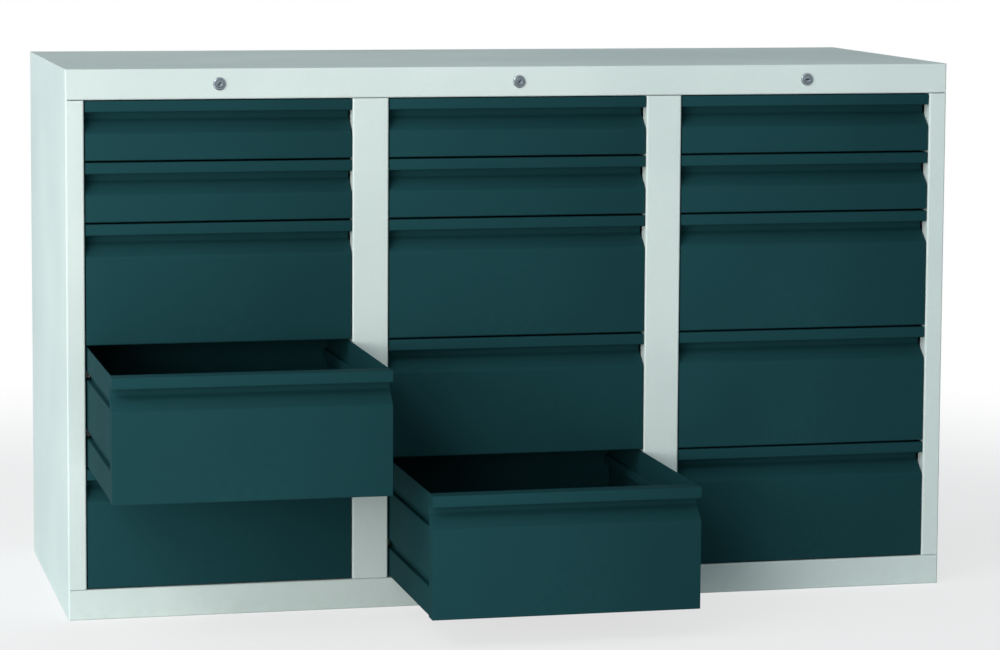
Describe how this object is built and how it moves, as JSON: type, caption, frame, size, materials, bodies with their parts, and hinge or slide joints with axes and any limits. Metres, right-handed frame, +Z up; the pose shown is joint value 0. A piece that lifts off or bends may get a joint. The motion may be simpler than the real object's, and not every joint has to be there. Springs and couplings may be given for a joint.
{
  "type": "laboratory drawer cabinet",
  "caption": "Free-standing sheet-steel laboratory cabinet with columns of pull-out drawers under finger-recess lips and a cylinder lock over each column.",
  "frame": {"origin": "on the floor, at the middle of the carcass footprint", "axes": "+Z up, +Y to the back, so drawers pull out along -Y; +X to the right as seen from the front"},
  "size_m": [1.5, 0.9502, 0.9],
  "materials": {
    "carcass_paint": "pale grey fine-texture powder coat",
    "drawer_paint": "dark petrol satin powder coat",
    "zinc_steel": "bright zinc-plated steel",
    "chrome": "polished chrome plate",
    "nylon": "natural moulded nylon"
  },
  "bodies": {
    "cabinet": {"side_panel_left": "carcass_paint", "side_panel_right": "carcass_paint", "top_panel": "carcass_paint", "base_panel": "carcass_paint", "back_panel": "carcass_paint", "back_rivets": "zinc_steel", "mullion_left": "carcass_paint", "mullion_right": "carcass_paint", "divider_left": "carcass_paint", "divider_right": "carcass_paint", "rails_left": "zinc_steel", "rails_centre": "zinc_steel", "rails_right": "zinc_steel", "rail_glides": "nylon", "lock_housings": "chrome", "lock_nuts": "zinc_steel", "shaft_bearings": "nylon", "bar_guides": "nylon"},
    "drawer_left_1": {"drawer_left_1_front": "drawer_paint", "drawer_left_1_tray": "drawer_paint"},
    "drawer_left_2": {"drawer_left_2_front": "drawer_paint", "drawer_left_2_tray": "drawer_paint"},
    "drawer_left_3": {"drawer_left_3_front": "drawer_paint", "drawer_left_3_tray": "drawer_paint"},
    "drawer_left_4": {"drawer_left_4_front": "drawer_paint", "drawer_left_4_tray": "drawer_paint"},
    "drawer_left_5": {"drawer_left_5_front": "drawer_paint", "drawer_left_5_tray": "drawer_paint"},
    "lock_left": {"lock_plug_left": "chrome", "lock_shaft_left": "zinc_steel"},
    "lock_bar_left": {"lock_bar_left": "zinc_steel"},
    "drawer_centre_1": {"drawer_centre_1_front": "drawer_paint", "drawer_centre_1_tray": "drawer_paint"},
    "drawer_centre_2": {"drawer_centre_2_front": "drawer_paint", "drawer_centre_2_tray": "drawer_paint"},
    "drawer_centre_3": {"drawer_centre_3_front": "drawer_paint", "drawer_centre_3_tray": "drawer_paint"},
    "drawer_centre_4": {"drawer_centre_4_front": "drawer_paint", "drawer_centre_4_tray": "drawer_paint"},
    "drawer_centre_5": {"drawer_centre_5_front": "drawer_paint", "drawer_centre_5_tray": "drawer_paint"},
    "lock_centre": {"lock_plug_centre": "chrome", "lock_shaft_centre": "zinc_steel"},
    "lock_bar_centre": {"lock_bar_centre": "zinc_steel"},
    "drawer_right_1": {"drawer_right_1_front": "drawer_paint", "drawer_right_1_tray": "drawer_paint"},
    "drawer_right_2": {"drawer_right_2_front": "drawer_paint", "drawer_right_2_tray": "drawer_paint"},
    "drawer_right_3": {"drawer_right_3_front": "drawer_paint", "drawer_right_3_tray": "drawer_paint"},
    "drawer_right_4": {"drawer_right_4_front": "drawer_paint", "drawer_right_4_tray": "drawer_paint"},
    "drawer_right_5": {"drawer_right_5_front": "drawer_paint", "drawer_right_5_tray": "drawer_paint"},
    "lock_right": {"lock_plug_right": "chrome", "lock_shaft_right": "zinc_steel"},
    "lock_bar_right": {"lock_bar_right": "zinc_steel"}
  },
  "joints": [
    {"name": "drawer_left_1_slide", "type": "slide", "parent": "cabinet", "child": "drawer_left_1", "axis": [0, -1, 0], "range_m": [0, 0.42]},
    {"name": "drawer_left_2_slide", "type": "slide", "parent": "cabinet", "child": "drawer_left_2", "axis": [0, -1, 0], "range_m": [0, 0.42]},
    {"name": "drawer_left_3_slide", "type": "slide", "parent": "cabinet", "child": "drawer_left_3", "axis": [0, -1, 0], "range_m": [0, 0.42]},
    {"name": "drawer_left_4_slide", "type": "slide", "parent": "cabinet", "child": "drawer_left_4", "axis": [0, -1, 0], "range_m": [-0.35, 0.07]},
    {"name": "drawer_left_5_slide", "type": "slide", "parent": "cabinet", "child": "drawer_left_5", "axis": [0, -1, 0], "range_m": [0, 0.42]},
    {"name": "lock_left_turn", "type": "hinge", "parent": "cabinet", "child": "lock_left", "pos_m": [-0.5, 0, 0.875], "axis": [0, 1, 0], "range_deg": [0, 90]},
    {"name": "lock_bar_left_lift", "type": "slide", "parent": "cabinet", "child": "lock_bar_left", "axis": [0, 0, 1], "range_m": [0, 0.0113]},
    {"name": "drawer_centre_1_slide", "type": "slide", "parent": "cabinet", "child": "drawer_centre_1", "axis": [0, -1, 0], "range_m": [0, 0.42]},
    {"name": "drawer_centre_2_slide", "type": "slide", "parent": "cabinet", "child": "drawer_centre_2", "axis": [0, -1, 0], "range_m": [0, 0.42]},
    {"name": "drawer_centre_3_slide", "type": "slide", "parent": "cabinet", "child": "drawer_centre_3", "axis": [0, -1, 0], "range_m": [0, 0.42]},
    {"name": "drawer_centre_4_slide", "type": "slide", "parent": "cabinet", "child": "drawer_centre_4", "axis": [0, -1, 0], "range_m": [0, 0.42]},
    {"name": "drawer_centre_5_slide", "type": "slide", "parent": "cabinet", "child": "drawer_centre_5", "axis": [0, -1, 0], "range_m": [-0.35, 0.07]},
    {"name": "lock_centre_turn", "type": "hinge", "parent": "cabinet", "child": "lock_centre", "pos_m": [0, 0, 0.875], "axis": [0, 1, 0], "range_deg": [0, 90]},
    {"name": "lock_bar_centre_lift", "type": "slide", "parent": "cabinet", "child": "lock_bar_centre", "axis": [0, 0, 1], "range_m": [0, 0.0113]},
    {"name": "drawer_right_1_slide", "type": "slide", "parent": "cabinet", "child": "drawer_right_1", "axis": [0, -1, 0], "range_m": [0, 0.42]},
    {"name": "drawer_right_2_slide", "type": "slide", "parent": "cabinet", "child": "drawer_right_2", "axis": [0, -1, 0], "range_m": [0, 0.42]},
    {"name": "drawer_right_3_slide", "type": "slide", "parent": "cabinet", "child": "drawer_right_3", "axis": [0, -1, 0], "range_m": [0, 0.42]},
    {"name": "drawer_right_4_slide", "type": "slide", "parent": "cabinet", "child": "drawer_right_4", "axis": [0, -1, 0], "range_m": [0, 0.42]},
    {"name": "drawer_right_5_slide", "type": "slide", "parent": "cabinet", "child": "drawer_right_5", "axis": [0, -1, 0], "range_m": [0, 0.42]},
    {"name": "lock_right_turn", "type": "hinge", "parent": "cabinet", "child": "lock_right", "pos_m": [0.5, 0, 0.875], "axis": [0, 1, 0], "range_deg": [0, 90]},
    {"name": "lock_bar_right_lift", "type": "slide", "parent": "cabinet", "child": "lock_bar_right", "axis": [0, 0, 1], "range_m": [0, 0.0113]}
  ],
  "couplings": [
    {"joint": "lock_left_turn", "follows": "lock_bar_left_lift", "rad_per_m": 138.84},
    {"joint": "lock_centre_turn", "follows": "lock_bar_centre_lift", "rad_per_m": 138.84},
    {"joint": "lock_right_turn", "follows": "lock_bar_right_lift", "rad_per_m": 138.84}
  ]
}
